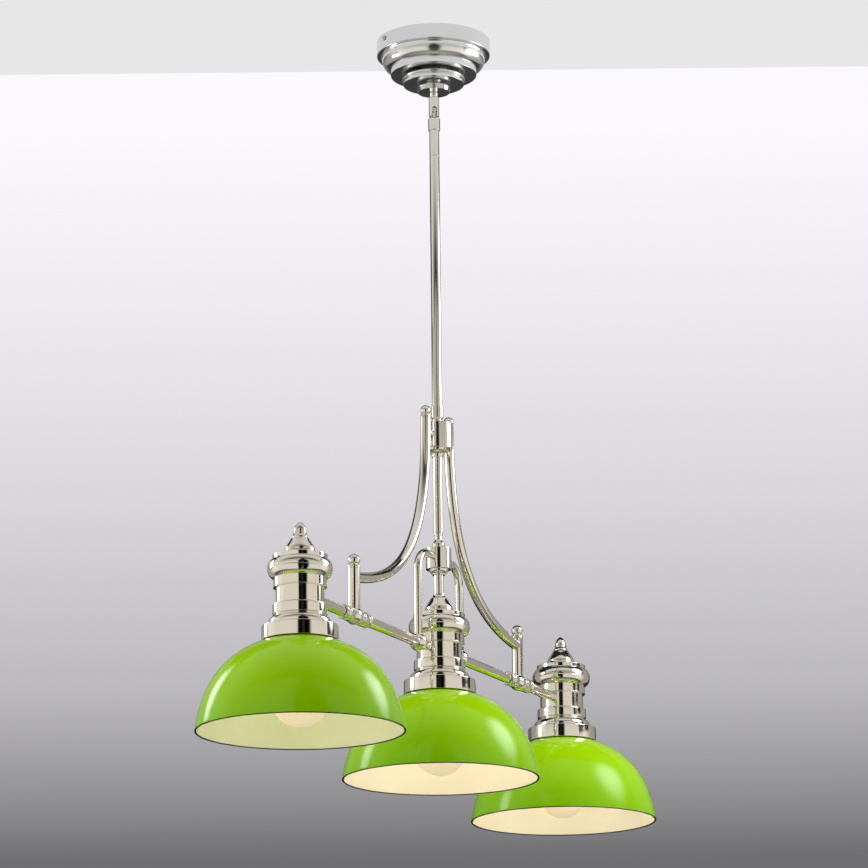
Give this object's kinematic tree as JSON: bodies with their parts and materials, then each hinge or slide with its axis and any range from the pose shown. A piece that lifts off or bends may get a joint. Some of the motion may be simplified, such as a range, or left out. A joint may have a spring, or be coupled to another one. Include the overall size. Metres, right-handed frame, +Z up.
{
  "type": "pool table lamp",
  "caption": "Pool table lamp on a down rod: domed glass shades in a row on a tubular crossbar, held by curved arms and a yoke.",
  "frame": {"origin": "centre of the bracket's ceiling face, on the axis of the down rod", "axes": "+Z up through the ceiling, X along the crossbar and the row of shades, Y across it"},
  "size_m": [1.2448, 0.3048, 1.2035],
  "materials": {
    "polished_nickel": "polished warm nickel plate, mirror bright",
    "green_glass": "opaque cased glass, glossy lime green outside and white inside",
    "bulb_glass": "frosted warm white bulb glass",
    "porcelain": "glazed porcelain, hard and glossy",
    "zinc_steel": "zinc plated sheet steel",
    "brass": "turned brass, satin"
  },
  "bodies": {
    "root": {"mounting_bracket": "zinc_steel", "canopy": "polished_nickel", "side_screw_left": "polished_nickel", "side_screw_right": "polished_nickel", "canopy_collar": "polished_nickel", "canopy_nut": "zinc_steel", "swivel_socket": "polished_nickel"},
    "swivel_ball": {"swivel_ball_stud": "polished_nickel"},
    "fixture": {"arm_finial_left": "polished_nickel", "arm_finial_right": "polished_nickel", "arm_left": "polished_nickel", "arm_right": "polished_nickel", "cap_left": "polished_nickel", "cap_middle": "polished_nickel", "cap_right": "polished_nickel", "centre_drop_tube": "polished_nickel", "crossbar_inner_left": "polished_nickel", "crossbar_inner_right": "polished_nickel", "crossbar_outer_left": "polished_nickel", "crossbar_outer_right": "polished_nickel", "down_rod": "polished_nickel", "housing_left": "polished_nickel", "housing_middle": "polished_nickel", "housing_right": "polished_nickel", "hub_lower_collar": "polished_nickel", "hub_sleeve": "polished_nickel", "lamp_finial_left": "polished_nickel", "lamp_finial_right": "polished_nickel", "lampholder_left": "porcelain", "lampholder_middle": "porcelain", "lampholder_right": "porcelain", "lower_check_ring": "polished_nickel", "lower_hub": "polished_nickel", "lower_stem": "polished_nickel", "post_finial_left": "polished_nickel", "post_finial_right": "polished_nickel", "post_left": "polished_nickel", "post_right": "polished_nickel", "rod_joint_nipple": "brass", "rod_top_coupler": "polished_nickel", "shade_holder_left": "polished_nickel", "shade_holder_middle": "polished_nickel", "shade_holder_right": "polished_nickel", "shade_left": "green_glass", "shade_middle": "green_glass", "shade_right": "green_glass", "shade_ring_left": "brass", "shade_ring_middle": "brass", "shade_ring_right": "brass", "stub_rod": "polished_nickel", "tee_left": "polished_nickel", "tee_right": "polished_nickel", "upper_hub": "polished_nickel", "yoke_fitting_left": "polished_nickel", "yoke_fitting_right": "polished_nickel", "yoke_left": "polished_nickel", "yoke_right": "polished_nickel"},
    "bulb_left": {"bulb_left": "bulb_glass"},
    "bulb_middle": {"bulb_middle": "bulb_glass"},
    "bulb_right": {"bulb_right": "bulb_glass"}
  },
  "joints": [
    {"name": "swivel_tilt", "type": "hinge", "parent": "root", "child": "swivel_ball", "pos_m": [0, 0, -0.115], "axis": [-0.5736, 0.8192, 0], "range_deg": [-20, 20]},
    {"name": "fixture_turn", "type": "hinge", "parent": "swivel_ball", "child": "fixture", "pos_m": [0, 0, -0.115], "axis": [0, 0, 1], "range_deg": [-170, 170]},
    {"name": "bulb_left_out", "type": "slide", "parent": "fixture", "child": "bulb_left", "axis": [0, 0, -1], "range_m": [0, 0.028]},
    {"name": "bulb_middle_out", "type": "slide", "parent": "fixture", "child": "bulb_middle", "axis": [0, 0, -1], "range_m": [0, 0.028]},
    {"name": "bulb_right_out", "type": "slide", "parent": "fixture", "child": "bulb_right", "axis": [0, 0, -1], "range_m": [0, 0.028]}
  ]
}
